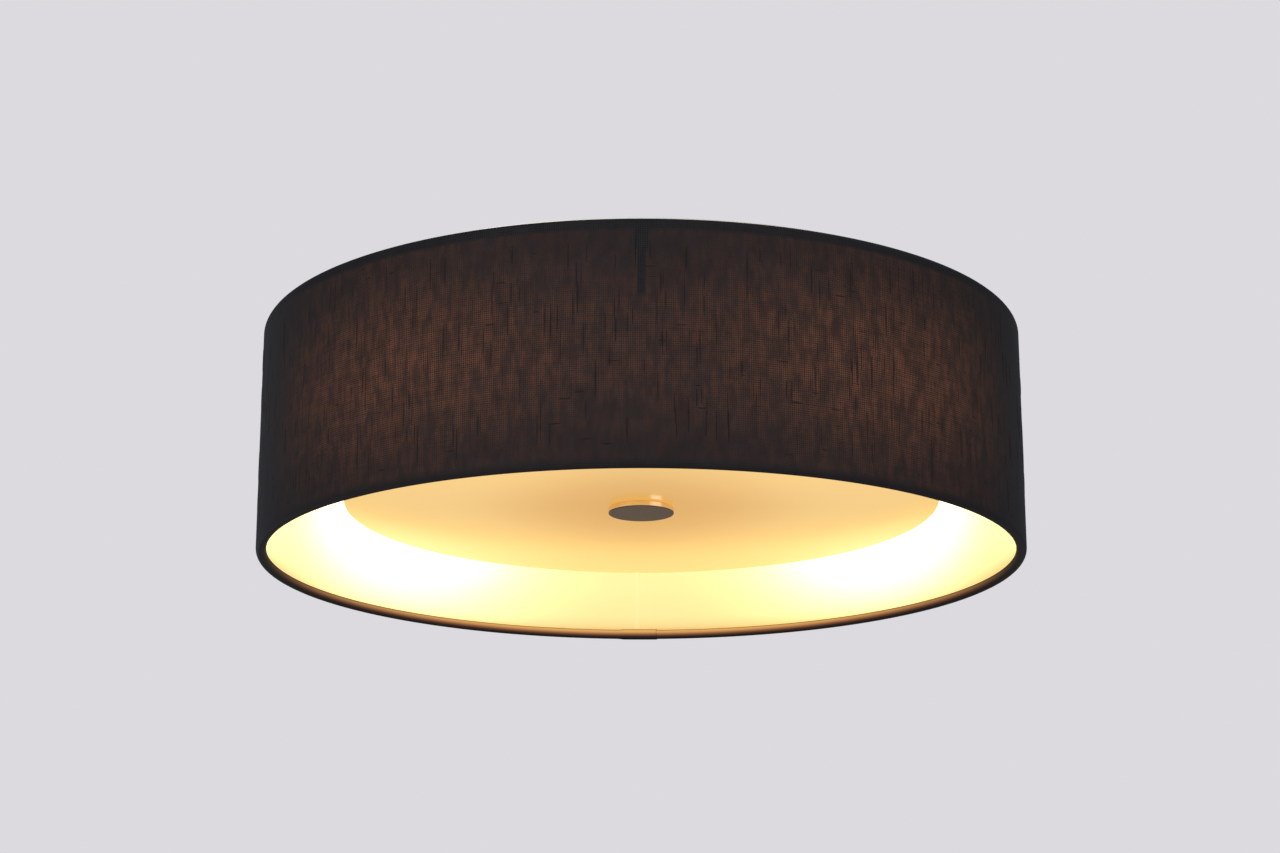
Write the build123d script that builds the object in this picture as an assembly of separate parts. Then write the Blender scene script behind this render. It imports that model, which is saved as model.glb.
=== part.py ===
from build123d import *
import math
import os

# Flush mount ceiling light, in millimetres. The ceiling is the plane z = 0 and the lamp hangs below it.
# The rod's axis is the Z axis, the front is -Y, and the shade's laps are at the back, +Y.

# ---------------------------------------------------------------- shade
shade_d = 500.0          # outside, over the fabric
shade_h = 150.0          # over both rolled hems
ceiling_gap = 4.0        # ceiling to the shade's top edge
fabric_t = 0.5
liner_t = 0.4
ring_wire_d = 5.0
ring_play = 0.15         # a wire ring inside its rolled hem
hem_wrap = 310.0         # degrees that the fabric is rolled round a wire ring
lap_w = 25.0             # the fabric's lap at the back
lap_t = 0.4
lap_shift = -0.6         # the lap's middle, to the left of the back

# ---------------------------------------------------------------- arms between the top ring and the pan
arm_angles = {"front": 270, "right": 0, "back": 90, "left": 180}
arm_w = 8.0
arm_t = 1.5
arm_leg_reach = 46.5     # leg's lower end below the shade's top edge
arm_stud_inset = 21.0    # an arm's stud, in from the pan's wall
arm_foot_end = 10.0      # foot's inner end beyond the stud
arm_bend_r = 1.5

# ---------------------------------------------------------------- base pan
pan_side_gap = 11.0      # pan's rim to the shade's lining
pan_depth = 18.0
pan_t = 0.8
pan_corner_r = 5.0
pan_flare = 3.0          # how much the wall leans out
pan_rim_w = 2.0

# ---------------------------------------------------------------- mounting bar
bar_end = 7.5            # bar beyond each slot
bar_w = 25.0
bar_t = 2.0
bar_corner_r = 5.0
ceiling_screw_spacing = 120.0
ceiling_slot_w = 5.5
ceiling_slot_length = 15.0
bar_stud_spacing = 90.0
cable_hole_d = 12.0

# ---------------------------------------------------------------- central rod and what it carries
rod_d = 10.0             # M10 x 1 threaded tube
rod_bore_d = 7.0
rod_nut_flats = 14.0
rod_nut_h = 5.0
rod_washer_d = 20.0
rod_washer_t = 1.5
rod_tail = 2.0           # rod above its upper nut
spacer_wall = 1.75

disc_d = 390.0
disc_t = 3.0
disc_drop = 111.5        # shade's top edge to the disc's lower face
disc_edge_r = 1.0
stop_washer_d = 30.0
stop_washer_t = 1.5
soft_washer_d = 31.0
soft_washer_t = 1.0

finial_d = 43.5
finial_t = 3.7
finial_skin = 1.2        # metal left below the blind thread
finial_recess = 0.7      # seat for the lower silicone washer
finial_boss_wall = 1.65
finial_boss_below_nut = 0.5
finial_edge = 0.5
rod_end_room = 0.5       # rod's end above the thread's floor

# ---------------------------------------------------------------- bulbs and lampholders
bulb_angles = [45, 135, 225, 315]
bulb_axis_drop = 66.0    # shade's top edge to the bulbs' axis
bulb_d = 60.0
bulb_length = 106.0      # contact tip to the far end of the glass
bulb_glass_t = 1.0
bulb_neck_in_cap = 12.0
bulb_neck_out = 1.0      # straight neck beyond the cap
bulb_ball_turn = 137.0   # degrees from the ball's far end to its shoulder
cap_length = 24.0
cap_crest_d = 26.2       # E27
cap_root_d = 24.4
cap_pitch = 3.629
cap_ridges = 5
cap_wall = 0.65
cap_cone_h = 3.5         # cone between the tip and the first ridge
cap_floor_t = 2.0
cap_face_rim = 1.0       # cap's flat end round the tip
tip_h = 2.5
tip_d = 9.0
tip_taper = 1.0

holder_back_r = 42.0     # lampholder's back, from the rod's axis
holder_length = 43.0
holder_wall = 4.5
holder_floor = 13.0      # thickness of the lampholder's back
holder_back_chamfer = 3.0
holder_collar = 18.0     # wide part of the body, from its back
holder_step = 1.4        # how far the skirt is in from the collar
holder_step_w = 1.0
holder_ribs = 4
holder_rib_h = 0.7
holder_mouth_chamfer = 1.0
shell_t = 0.8
shell_play = 0.5         # bulb's cap inside the threaded shell
shell_inset = 2.0        # shell's end inside the lampholder's mouth
bead_depth = 0.32
contact_d = 8.0
contact_h = 2.6

bracket_w = 20.0
bracket_t = 1.5
bracket_screw_insets = [8.0, 20.0]   # from the lampholder's back
bracket_foot_end = 6.0
bracket_leg_end = 4.0    # leg below its lower screw
holder_screw_offset = 10.0

# ---------------------------------------------------------------- terminal block, leads and earth
block_y = 50.0
block_h = 12.0
block_wall = 2.5
block_corner_r = 1.5
pole_spacing = 12.0
pole_w = 9.0
pole_depth = 8.0
pole_h = 5.0
pole_screw_inset = 0.5   # clamping screw below the block's top
lead_d = 2.2
lead_gap = 0.4           # between leads side by side
lead_in_block = 5.0
lead_end_room = 0.5      # lead's end to the end of its hole
lead_straight = 5.0      # straight run in front of the block
lead_in_holder = 6.0
lead_bend_r = 4.0
lead_lean_r = 12.0       # where a lead only leans
lead_lane_x = 15.0       # where leads pass the rod on their way to the front
lead_lane_end = 2.0      # lane's start behind the rod's washer
lead_drop = 9.0          # upright run below the pan
lead_entry_rise = 10.0   # upright run beside the lampholder
lead_entry_room = 10.0   # from that run to the lampholder's back
lead_beside_bracket = 3.0
lead_above_axis = 4.0
grommet_inset = 11.0     # grommets, from the lampholders' backs
grommet_play = 0.3
grommet_wall = 1.8
grommet_lip = 1.5
grommet_flange_t = 1.2
earth_beside_block = 9.0
earth_behind_block = 4.0
earth_turn = 7.0         # earth lead's bend in front of the block
tag_d = 8.0
tag_t = 0.8
tag_neck_w = 3.0
tag_barrel_wall = 0.7

# ---------------------------------------------------------------- fasteners
m4_d = 4.0
m4_head_d = 8.0
m4_head_h = 1.5
m4_nut_flats = 7.0
m4_nut_h = 3.2
m3_d = 3.0
m3_head_d = 5.6
m3_head_h = 1.8
knurled_d = 12.0
knurled_h = 8.0
knurl_ribs = 16
knurl_end = 1.0          # smooth band at each end of the ribs
thread_past_nut = 1.0
screw_grip = 6.0         # M3 screw in a plastic part

# ---------------------------------------------------------------- clearances
layer_gap = 0.05         # between glued or wound layers
fit = 0.05               # radial, a screw or rod in its own hole or nut
hole_play = 0.25         # radial, a screw or rod through a plain hole
turn_play = 0.3          # radial, a piece that turns in a plain hole
seat_gap = 0.1           # between a moving piece and what it stops on
cut = 1.0                # how far a cutting solid runs past what it cuts

# ---------------------------------------------------------------- worked out from the sizes above
shade_r = shade_d / 2
shade_top = -ceiling_gap
shade_bottom = shade_top - shade_h
liner_out_r = shade_r - fabric_t - layer_gap
liner_in_r = liner_out_r - liner_t
ring_r = liner_in_r - ring_play - ring_wire_d / 2
hem_in_r = ring_r - ring_wire_d / 2 - ring_play - fabric_t
hem_centre_r = (shade_r + hem_in_r) / 2
hem_r = (shade_r - hem_in_r) / 2
top_hem_z = shade_top - hem_r
bottom_hem_z = shade_bottom + hem_r

pan_r = liner_in_r - pan_side_gap - pan_rim_w
pan_under = -pan_depth
pan_floor = pan_under + pan_t
arm_stud_r = pan_r - arm_stud_inset
arm_foot_r = arm_stud_r - arm_foot_end
bar_length = ceiling_screw_spacing + ceiling_slot_length + 2 * bar_end

spacer_d = rod_d + 2 * hole_play + 2 * spacer_wall
finial_boss_d = rod_d + 2 * fit + 2 * finial_boss_wall
disc_hole_d = finial_boss_d + 2 * turn_play

disc_under = shade_top - disc_drop
disc_top = disc_under + disc_t
stop_under = disc_top + soft_washer_t
stop_top = stop_under + stop_washer_t
nut_under = stop_top + seat_gap
lower_soft_under = disc_under - soft_washer_t
finial_top = lower_soft_under + finial_recess
finial_under = finial_top - finial_t
finial_boss_top = nut_under - finial_boss_below_nut
thread_floor = finial_under + finial_skin
rod_bottom = thread_floor + rod_end_room
rod_nut_seat = pan_floor + rod_washer_t
rod_top = rod_nut_seat + rod_nut_h + rod_tail

bulb_axis_z = shade_top - bulb_axis_drop
bulb_neck_d = cap_root_d - 2 * cap_wall - 2 * layer_gap
shell_bore_d = cap_crest_d + 2 * shell_play
holder_bore_d = shell_bore_d + 2 * shell_t + 4 * layer_gap
holder_d = holder_bore_d + 2 * holder_wall
holder_mouth_r = holder_back_r + holder_length
bracket_screw_rs = [holder_back_r + inset for inset in bracket_screw_insets]
bracket_foot_r = bracket_screw_rs[-1] + bracket_foot_end
holder_floor_r = holder_back_r + holder_floor
tip_r = holder_floor_r + contact_h + seat_gap
cap_r = tip_r + tip_h
cap_end_r = cap_r + cap_length
bulb_end_r = tip_r + bulb_length
bulb_centre_r = bulb_end_r - bulb_d / 2

pole_xs = {"live": -pole_spacing, "neutral": 0.0, "earth": pole_spacing}
block_w = 2 * pole_spacing + pole_w + 2 * block_wall
block_depth = pole_depth + 2 * lead_in_block
block_front = block_y - block_depth / 2
block_top = pan_floor + block_h
lead_pitch = lead_d + lead_gap
lead_side = bracket_w / 2 + lead_beside_bracket
grommet_r = holder_back_r - grommet_inset
grommet_bore_d = lead_pitch + lead_d + 2 * grommet_play
grommet_hole_d = grommet_bore_d + 2 * grommet_wall
grommet_flange_d = grommet_hole_d + 2 * grommet_lip
lead_low_z = pan_floor + grommet_flange_t + lead_bend_r
lead_levels = {
    "earth": pan_floor + tag_t + lead_d / 2,
    "neutral": lead_low_z,
    "live": lead_low_z + lead_pitch,
}
earth_x = block_w / 2 + earth_beside_block
earth_y = block_y + earth_behind_block

LOW = (Align.CENTER, Align.CENTER, Align.MIN)
RIDGE = (0.2, 0.4, 0.6, 0.8)    # where a thread's ridge rises and falls, in shares of its pitch
BEAD = (0.0, 0.25, 0.5, 0.75)   # the same for a bead of the shell
RIB = (0.0, 0.25, 0.55, 0.8)    # the same for a rib of the lampholder
SHARP_TURN = math.radians(75)   # past it a lead bends round its own small radius
ARC_SHARE = 0.45                # most of a run that one bend's arc takes


# ---------------------------------------------------------------- helpers
def rod_piece(d, low, high, x=0.0, y=0.0):
    """An upright cylinder from low to high."""
    return Pos(x, y, low) * Cylinder(d / 2, high - low, align=LOW)


def pipe_piece(d, bore, low, high, x=0.0, y=0.0):
    """An upright cylinder with a hole right through."""
    return rod_piece(d, low, high, x, y) - rod_piece(bore, low - cut, high + cut, x, y)


def hex_nut(flats, height, bore, low, x=0.0, y=0.0):
    """A hexagon nut that stands on low."""
    outline = RegularPolygon(flats / 2, 6, major_radius=False)
    nut = Pos(x, y, low) * extrude(outline, height)
    return nut - rod_piece(bore, low - cut, low + height + cut, x, y)


def turned(edges):
    """A closed outline of edges in radius and height, turned about the Z axis."""
    return revolve(make_face(Plane.XZ * (Curve() + edges)), Axis.Z)


def turned_polygon(points):
    """A closed outline of straight lines in radius and height, turned about the Z axis."""
    return turned([Polyline(*points, close=True)])


def at_angle(angle):
    """From a frame with X outwards from the rod to the piece's place round the rod."""
    return Rot(0, 0, angle)


def along_bulb(angle):
    """From a frame with Z along a bulb's axis, out from the rod, to its place."""
    return Pos(0, 0, bulb_axis_z) * Rot(0, 0, angle) * Rot(0, 90, 0)


def round_place(radius, angle):
    """The point at a radius and an angle from the rod's axis."""
    return radius * math.cos(math.radians(angle)), radius * math.sin(math.radians(angle))


def group(solids):
    """Several separate solids as one piece."""
    return Compound(children=[part for solid in solids for part in solid.solids()])


def knurled_nut(seat, x, y):
    """A round nut with a ribbed grip, hanging below its seat, with a M4 thread right through."""
    body = pipe_piece(knurled_d, m4_d + 2 * fit, seat - knurled_h, seat, x, y)
    groove_d = knurled_d * math.pi / knurl_ribs / 2
    low, high = seat - knurled_h + knurl_end, seat - knurl_end
    for i in range(knurl_ribs):
        gx, gy = round_place(knurled_d / 2, 360 / knurl_ribs * i)
        body -= rod_piece(groove_d, low, high, x + gx, y + gy)
    return body


# ---------------------------------------------------------------- shade
def hem_edges(centre_z, side):
    """The two arcs and the cut end of a hem. side is 1 at the top and -1 at the bottom."""
    outer, inner = hem_r, hem_r - fabric_t
    centre = (hem_centre_r, centre_z)
    end = math.radians(side * hem_wrap)
    cut = [
        (hem_centre_r + r * math.cos(end), centre_z + r * math.sin(end))
        for r in (outer, inner)
    ]
    return [
        CenterArc(centre, outer, 0, side * hem_wrap),
        Line(*cut),
        CenterArc(centre, inner, 0, side * hem_wrap),
    ]


def shade_fabric():
    """The outer cloth, one sheet with both edges rolled round the wire rings, lapped at the back."""
    wall = [
        Line((shade_r, bottom_hem_z), (shade_r, top_hem_z)),
        Line((shade_r - fabric_t, bottom_hem_z), (shade_r - fabric_t, top_hem_z)),
    ]
    cloth = turned(wall + hem_edges(top_hem_z, 1) + hem_edges(bottom_hem_z, -1))
    lap_d = shade_d + 2 * lap_t
    lap = pipe_piece(lap_d, shade_d, bottom_hem_z, top_hem_z)
    lap &= Pos(lap_shift, shade_r, (shade_top + shade_bottom) / 2) * Box(lap_w, shade_r, shade_h)
    cloth += lap
    slit_w = arm_w + 2 * hole_play
    slit_depth = liner_in_r - ring_r
    for angle in arm_angles.values():
        slit = Box(slit_depth, slit_w, ring_wire_d, align=(Align.MAX, Align.CENTER, Align.MAX))
        cloth -= at_angle(angle) * Pos(liner_in_r, 0, top_hem_z) * slit
    return cloth


def shade_liner():
    """The stiff white sheet that the cloth is glued to."""
    return pipe_piece(2 * liner_out_r, 2 * liner_in_r, bottom_hem_z, top_hem_z)


def shade_ring(height):
    """A wire ring inside a hem."""
    return Pos(0, 0, height) * Torus(ring_r, ring_wire_d / 2)


def shade_arm(angle):
    """A steel strip welded to the top ring: its leg lies along the liner, its foot is held on the pan."""
    leg_out = math.sqrt((liner_in_r - 2 * layer_gap) ** 2 - (arm_w / 2) ** 2)
    leg_in = leg_out - arm_t
    leg_low = shade_top - arm_leg_reach
    foot_low = pan_under - arm_t
    outline = make_face(
        Polyline(
            (leg_out, leg_low),
            (leg_out, top_hem_z),
            (leg_in, top_hem_z),
            (leg_in, pan_under),
            (arm_foot_r, pan_under),
            (arm_foot_r, foot_low),
            (leg_in, foot_low),
            (leg_in, leg_low),
            close=True,
        )
    )
    bends = [
        corner
        for corner in outline.vertices()
        if abs(corner.X - leg_in) < fit and foot_low - fit < corner.Y < pan_under + fit
    ]
    outline = fillet(bends, arm_bend_r)
    strip = extrude(Plane.XZ * outline, arm_w / 2, both=True)
    strip -= rod_piece(m4_d + 2 * hole_play, foot_low - cut, pan_under + cut, arm_stud_r, 0)
    return at_angle(angle) * strip - shade_ring(top_hem_z)


def arm_studs():
    """Round-headed studs, put through the pan from the ceiling side."""
    low = pan_under - arm_t - knurled_h
    solids = []
    for angle in arm_angles.values():
        x, y = round_place(arm_stud_r, angle)
        head = rod_piece(m4_head_d, pan_floor, pan_floor + m4_head_h, x, y)
        solids.append(head + rod_piece(m4_d, low, pan_floor, x, y))
    return group(solids)


def arm_nuts():
    """Knurled nuts that hold the arms' feet against the pan."""
    places = [round_place(arm_stud_r, angle) for angle in arm_angles.values()]
    return group([knurled_nut(pan_under - arm_t, x, y) for x, y in places])


# ---------------------------------------------------------------- base pan and mounting bar
def base_pan():
    """A shallow steel dish, open to the ceiling, that closes the shade's top."""
    foot_r = pan_r - pan_flare
    outline = make_face(
        Polyline(
            (0, pan_under),
            (foot_r, pan_under),
            (pan_r, -pan_t),
            (pan_r + pan_rim_w, -pan_t),
            (pan_r + pan_rim_w, 0),
            (pan_r - pan_t, 0),
            (foot_r - pan_t, pan_floor),
            (0, pan_floor),
            close=True,
        )
    )
    outer = [v for v in outline.vertices() if abs(v.X - foot_r) < fit]
    outline = fillet(outer, pan_corner_r)
    inner = [v for v in outline.vertices() if abs(v.X - foot_r + pan_t) < fit and v.Y > pan_under + fit]
    outline = fillet(inner, pan_corner_r - pan_t)
    pan = revolve(Plane.XZ * outline, Axis.Z)
    holes = [(rod_d + 2 * hole_play, 0, 0)]
    holes += [(m4_d + 2 * hole_play, side * bar_stud_spacing / 2, 0) for side in (-1, 1)]
    holes += [(m4_d + 2 * hole_play, *round_place(arm_stud_r, a)) for a in arm_angles.values()]
    holes += [(grommet_hole_d, *round_place(grommet_r, a)) for a in bulb_angles]
    holes += [(m4_d + 2 * hole_play, *round_place(r, a)) for a in bulb_angles for r in bracket_screw_rs]
    holes += [(m4_d + 2 * hole_play, earth_x, earth_y)]
    holes += [(m3_d + 2 * hole_play, x, block_y) for x in block_screw_xs()]
    for d, x, y in holes:
        pan -= rod_piece(d, pan_under - cut, pan_floor + cut, x, y)
    return pan


def mounting_bar():
    """The steel strip that is screwed to the ceiling."""
    bar = Box(bar_length, bar_w, bar_t, align=(Align.CENTER, Align.CENTER, Align.MAX))
    bar = fillet(bar.edges().filter_by(Axis.Z), bar_corner_r)
    slot = extrude(SlotOverall(ceiling_slot_length, ceiling_slot_w), -2 * bar_t)
    for side in (-1, 1):
        bar -= Pos(side * ceiling_screw_spacing / 2, 0, bar_t / 2) * slot
        bar -= rod_piece(m4_d + 2 * fit, -bar_t - cut, cut, side * bar_stud_spacing / 2, 0)
    return bar - rod_piece(cable_hole_d, -bar_t - cut, cut)


def bar_studs():
    """Studs pressed into the bar, flush with its ceiling side, with a collar under it."""
    low = pan_under - knurled_h
    solids = []
    for side in (-1, 1):
        x = side * bar_stud_spacing / 2
        collar = rod_piece(m4_head_d, -bar_t - m4_head_h, -bar_t, x, 0)
        solids.append(collar + rod_piece(m4_d, low, 0, x, 0))
    return group(solids)


def pan_nuts():
    """Knurled nuts that hold the pan on the bar's studs."""
    return group([knurled_nut(pan_under, side * bar_stud_spacing / 2, 0) for side in (-1, 1)])


# ---------------------------------------------------------------- rod, diffuser and finial
def centre_rod():
    """The threaded tube that carries the diffuser."""
    return pipe_piece(rod_d, rod_bore_d, rod_bottom, rod_top)


def rod_nuts():
    """One nut holds the rod in the pan, the other closes the stack under the spacer tube."""
    bore = rod_d + 2 * fit
    return group([hex_nut(rod_nut_flats, rod_nut_h, bore, low) for low in (rod_nut_seat, nut_under)])


def rod_washer():
    """The washer between the upper nut and the pan."""
    return pipe_piece(rod_washer_d, rod_d + 2 * hole_play, pan_floor, rod_nut_seat)


def spacer_tube():
    """The sleeve round the rod, from the pan to the lower nut."""
    return pipe_piece(spacer_d, rod_d + 2 * hole_play, nut_under + rod_nut_h, pan_under)


def stop_washer():
    """The steel washer that bears on the lower nut when the finial is tight."""
    return pipe_piece(stop_washer_d, disc_hole_d, stop_under, stop_top)


def soft_washers():
    """The silicone washers above and below the disc, which keep metal off it."""
    lows = (lower_soft_under, disc_top)
    return group([pipe_piece(soft_washer_d, disc_hole_d, low, low + soft_washer_t) for low in lows])


def diffuser_disc():
    """The opal acrylic disc, with rounded edges."""
    disc = rod_piece(disc_d, disc_under, disc_top)
    disc = fillet(disc.edges().filter_by(GeomType.CIRCLE), disc_edge_r)
    return disc - rod_piece(disc_hole_d, disc_under - cut, disc_top + cut)


def finial():
    """The round cap nut: a flat head with a threaded boss that reaches up through the disc."""
    head_r = finial_d / 2
    boss_r = finial_boss_d / 2
    recess_r = soft_washer_d / 2 + turn_play
    bore_r = rod_d / 2 + fit
    return turned_polygon(
        [
            (0, finial_under),
            (head_r - finial_edge, finial_under),
            (head_r, finial_under + finial_edge),
            (head_r, finial_top - finial_edge),
            (head_r - finial_edge, finial_top),
            (recess_r, finial_top),
            (recess_r, lower_soft_under),
            (boss_r, lower_soft_under),
            (boss_r, finial_boss_top),
            (bore_r, finial_boss_top),
            (bore_r, thread_floor),
            (0, thread_floor),
        ]
    )


# ---------------------------------------------------------------- bulbs, along their own axis
def bulb_outline(wall):
    """Half the glass's outline, inside the given wall: neck, shoulder and ball. It ends on the axis."""
    ball = bulb_d / 2 - wall
    neck = bulb_neck_d / 2 - wall
    join_angle = math.radians(bulb_ball_turn)
    join = (ball * math.sin(join_angle), bulb_centre_r + ball * math.cos(join_angle))
    join_way = (-math.cos(join_angle), math.sin(join_angle))
    end = (0, bulb_centre_r + ball)
    middle_angle = join_angle / 2
    middle = (ball * math.sin(middle_angle), bulb_centre_r + ball * math.cos(middle_angle))
    start = (neck, cap_end_r - bulb_neck_in_cap)
    shoulder = (neck, cap_end_r + bulb_neck_out)
    return [
        Line(start, shoulder),
        Spline(shoulder, join, tangents=[(0, 1), join_way]),
        ThreePointArc(join, middle, end),
    ]


def bulb_glass(angle):
    """The opal glass, open at its neck inside the cap."""
    outer, inner = bulb_outline(0), bulb_outline(bulb_glass_t)
    ends = [Line(outer[0] @ 0, inner[0] @ 0), Line(outer[2] @ 1, inner[2] @ 1)]
    return along_bulb(angle) * turned(outer + inner + ends)


def bulb_cap(angle):
    """The E27 screw cap, hollow, its thread as rounded ridges."""
    crest, root = cap_crest_d / 2, cap_root_d / 2
    bore = bulb_neck_d / 2 + layer_gap
    first = cap_r + cap_cone_h
    points = [(tip_d / 2 + cap_face_rim, cap_r), (root, first)]
    for i in range(cap_ridges):
        start = first + i * cap_pitch
        points += [(r, start + cap_pitch * share) for r, share in zip((root, crest, crest, root), RIDGE)]
    points += [(root, cap_end_r), (bore, cap_end_r), (bore, first), (0, cap_r + cap_floor_t), (0, cap_r)]
    return along_bulb(angle) * turned_polygon(points)


def bulb_contact(angle):
    """The solder tip in the middle of the cap."""
    tip = Cone(tip_d / 2 - tip_taper, tip_d / 2, tip_h, align=LOW)
    return along_bulb(angle) * Pos(0, 0, tip_r) * tip


# ---------------------------------------------------------------- lampholders and their brackets
def holder_screw_holes(d, low, high):
    """The two upright-spaced screws behind a lampholder, along its axis."""
    return [rod_piece(d, low, high, side * holder_screw_offset, 0) for side in (-1, 1)]


def lampholder(angle):
    """The plastic body: a thick back with screw and lead holes, and a ribbed skirt round the shell."""
    r = holder_d / 2
    neck = r - holder_step
    crest = neck + holder_rib_h
    bore = holder_bore_d / 2
    step = holder_back_r + holder_collar
    skirt = step + 2 * holder_step_w
    points = [(0, holder_back_r), (neck, holder_back_r), (r, holder_back_r + holder_back_chamfer)]
    points += [(r, step), (neck, step + holder_step_w)]
    rib = (holder_mouth_r - holder_mouth_chamfer - skirt) / (holder_ribs + 1)
    for i in range(holder_ribs):
        low = skirt + i * rib
        points += [(d, low + rib * share) for d, share in zip((neck, crest, crest, neck), RIB)]
    points += [(neck, holder_mouth_r - holder_mouth_chamfer), (neck - holder_mouth_chamfer, holder_mouth_r)]
    points += [(bore, holder_mouth_r), (bore, holder_floor_r), (0, holder_floor_r)]
    body = turned_polygon(points)
    deep = holder_back_r + screw_grip + lead_end_room
    for hole in holder_screw_holes(m3_d + 2 * fit, holder_back_r - cut, deep):
        body -= hole
    for side in (-1, 1):
        low, high = holder_back_r - cut, holder_back_r + lead_in_holder + lead_end_room
        body -= rod_piece(lead_d + 2 * hole_play, low, high, -lead_above_axis, side * lead_side)
    return along_bulb(angle) * body


def lampholder_shell(angle):
    """The plated threaded shell, its thread as outward beads."""
    bore, out = shell_bore_d / 2, shell_bore_d / 2 + shell_t
    low, high = holder_floor_r + contact_h, holder_mouth_r - shell_inset
    bead = bore + bead_depth
    inner = []
    for i in range(int((high - low - cap_pitch) / cap_pitch)):
        start = low + cap_pitch / 2 + i * cap_pitch
        inner += [(r, start + cap_pitch * share) for r, share in zip((bore, bead, bead, bore), BEAD)]
    points = [(bore, low)] + inner + [(bore, high), (out, high), (out, low)]
    return along_bulb(angle) * turned_polygon(points)


def lampholder_contacts():
    """The sprung centre contacts, on the lampholders' floors."""
    low, high = holder_floor_r, holder_floor_r + contact_h
    return group([along_bulb(angle) * rod_piece(contact_d, low, high) for angle in bulb_angles])


def lampholder_bracket(angle):
    """A bent steel strip: its foot lies under the pan and its leg hangs behind the lampholder."""
    leg_low = bulb_axis_z - holder_screw_offset - bracket_leg_end
    back = holder_back_r - bracket_t
    outline = make_face(
        Polyline(
            (back, leg_low),
            (back, pan_under),
            (bracket_foot_r, pan_under),
            (bracket_foot_r, pan_under - bracket_t),
            (holder_back_r, pan_under - bracket_t),
            (holder_back_r, leg_low),
            close=True,
        )
    )
    bend = [v for v in outline.vertices() if abs(v.X - back) < fit and abs(v.Y - pan_under) < fit]
    outline = fillet(bend, bracket_t)
    strip = extrude(Plane.XZ * outline, bracket_w / 2, both=True)
    for r in bracket_screw_rs:
        strip -= rod_piece(m4_d + 2 * hole_play, pan_under - bracket_t - cut, pan_under + cut, r, 0)
    strip = at_angle(angle) * strip
    for hole in holder_screw_holes(m3_d + 2 * hole_play, back - cut, holder_back_r + cut):
        strip -= along_bulb(angle) * hole
    return strip


def bracket_screws():
    """M4 screws that hold the brackets to the pan, heads below."""
    seat = pan_under - bracket_t
    high = pan_floor + m4_nut_h + thread_past_nut
    solids = []
    for angle in bulb_angles:
        for r in bracket_screw_rs:
            x, y = round_place(r, angle)
            head = rod_piece(m4_head_d, seat - m4_head_h, seat, x, y)
            solids.append(head + rod_piece(m4_d, seat, high, x, y))
    return group(solids)


def bracket_nuts():
    """Their nuts, on the pan's ceiling side."""
    places = [round_place(r, angle) for angle in bulb_angles for r in bracket_screw_rs]
    return group([hex_nut(m4_nut_flats, m4_nut_h, m4_d + 2 * fit, pan_floor, x, y) for x, y in places])


def holder_screws():
    """M3 screws that hold each lampholder on its bracket."""
    seat = holder_back_r - bracket_t
    solids = []
    for angle in bulb_angles:
        heads = holder_screw_holes(m3_head_d, seat - m3_head_h, seat)
        shanks = holder_screw_holes(m3_d, seat, holder_back_r + screw_grip)
        solids += [along_bulb(angle) * (head + shank) for head, shank in zip(heads, shanks)]
    return group(solids)


# ---------------------------------------------------------------- terminal block
def block_screw_xs():
    """Where the block's two fixing screws stand, between its poles."""
    poles = sorted(pole_xs.values())
    return [(a + b) / 2 for a, b in zip(poles, poles[1:])]


def pole_height():
    """The middle of a brass insert."""
    return (pan_floor + block_top) / 2


def terminal_block():
    """The plastic block: a pocket, a screw hole and two wire mouths for each pole."""
    block = Pos(0, block_y, pan_floor) * Box(block_w, block_depth, block_h, align=LOW)
    block = fillet(block.edges().filter_by(Axis.Z), block_corner_r)
    wide = pole_w + 2 * layer_gap
    for name, x in pole_xs.items():
        pocket = Box(wide, pole_depth + 2 * layer_gap, pole_h + 2 * layer_gap)
        block -= Pos(x, block_y, pole_height()) * pocket
        block -= rod_piece(m3_d + 2 * hole_play, pole_height(), block_top + cut, x, block_y)
        supply = Rot(90, 0, 0) * Cylinder(m4_d / 2, block_depth / 2, align=LOW)
        block -= Pos(x, block_y + block_depth / 2 + cut, pole_height()) * supply
        leads = 1 if name == "earth" else len(bulb_angles)
        mouth_w = (leads - 1) * lead_pitch + lead_d + 2 * hole_play
        mouth = Box(mouth_w, 2 * (lead_in_block + lead_end_room), lead_d + 2 * hole_play)
        block -= Pos(x, block_front, lead_levels[name]) * mouth
    for x in block_screw_xs():
        block -= rod_piece(m3_d + 2 * fit, pan_floor - cut, block_top + cut, x, block_y)
    return block


def terminal_inserts():
    """The brass clamps of the poles."""
    insert = Box(pole_w, pole_depth, pole_h)
    return group([Pos(x, block_y, pole_height()) * insert for x in pole_xs.values()])


def terminal_screws():
    """The clamping screws, one on each pole."""
    low = pole_height() + pole_h / 2 + layer_gap
    return group([rod_piece(m3_d, low, block_top - pole_screw_inset, x, block_y) for x in pole_xs.values()])


def block_screws():
    """The two screws through the block and the pan, each with a head on the block."""
    solids = []
    for x in block_screw_xs():
        head = rod_piece(m3_head_d, block_top, block_top + m3_head_h, x, block_y)
        solids.append(head + rod_piece(m3_d, pan_under - thread_past_nut, block_top, x, block_y))
    return group(solids)


# ---------------------------------------------------------------- leads and earth
def round_lead(points):
    """A lead along straight runs joined by arcs, wide ones where the lead only leans."""
    vectors = [Vector(*p) for p in points]
    radii = []
    for a, b, c in zip(vectors, vectors[1:], vectors[2:]):
        turn = math.radians((b - a).get_angle(c - b))
        run = min((b - a).length, (c - b).length)
        easy = lead_bend_r if turn > SHARP_TURN else lead_lean_r
        radii.append(min(easy, ARC_SHARE * run / math.tan(turn / 2)))
    path = FilletPolyline(*points, radius=radii)
    profile = Plane(origin=path @ 0, z_dir=path % 0) * Circle(lead_d / 2)
    return sweep(profile, path=path)


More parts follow.
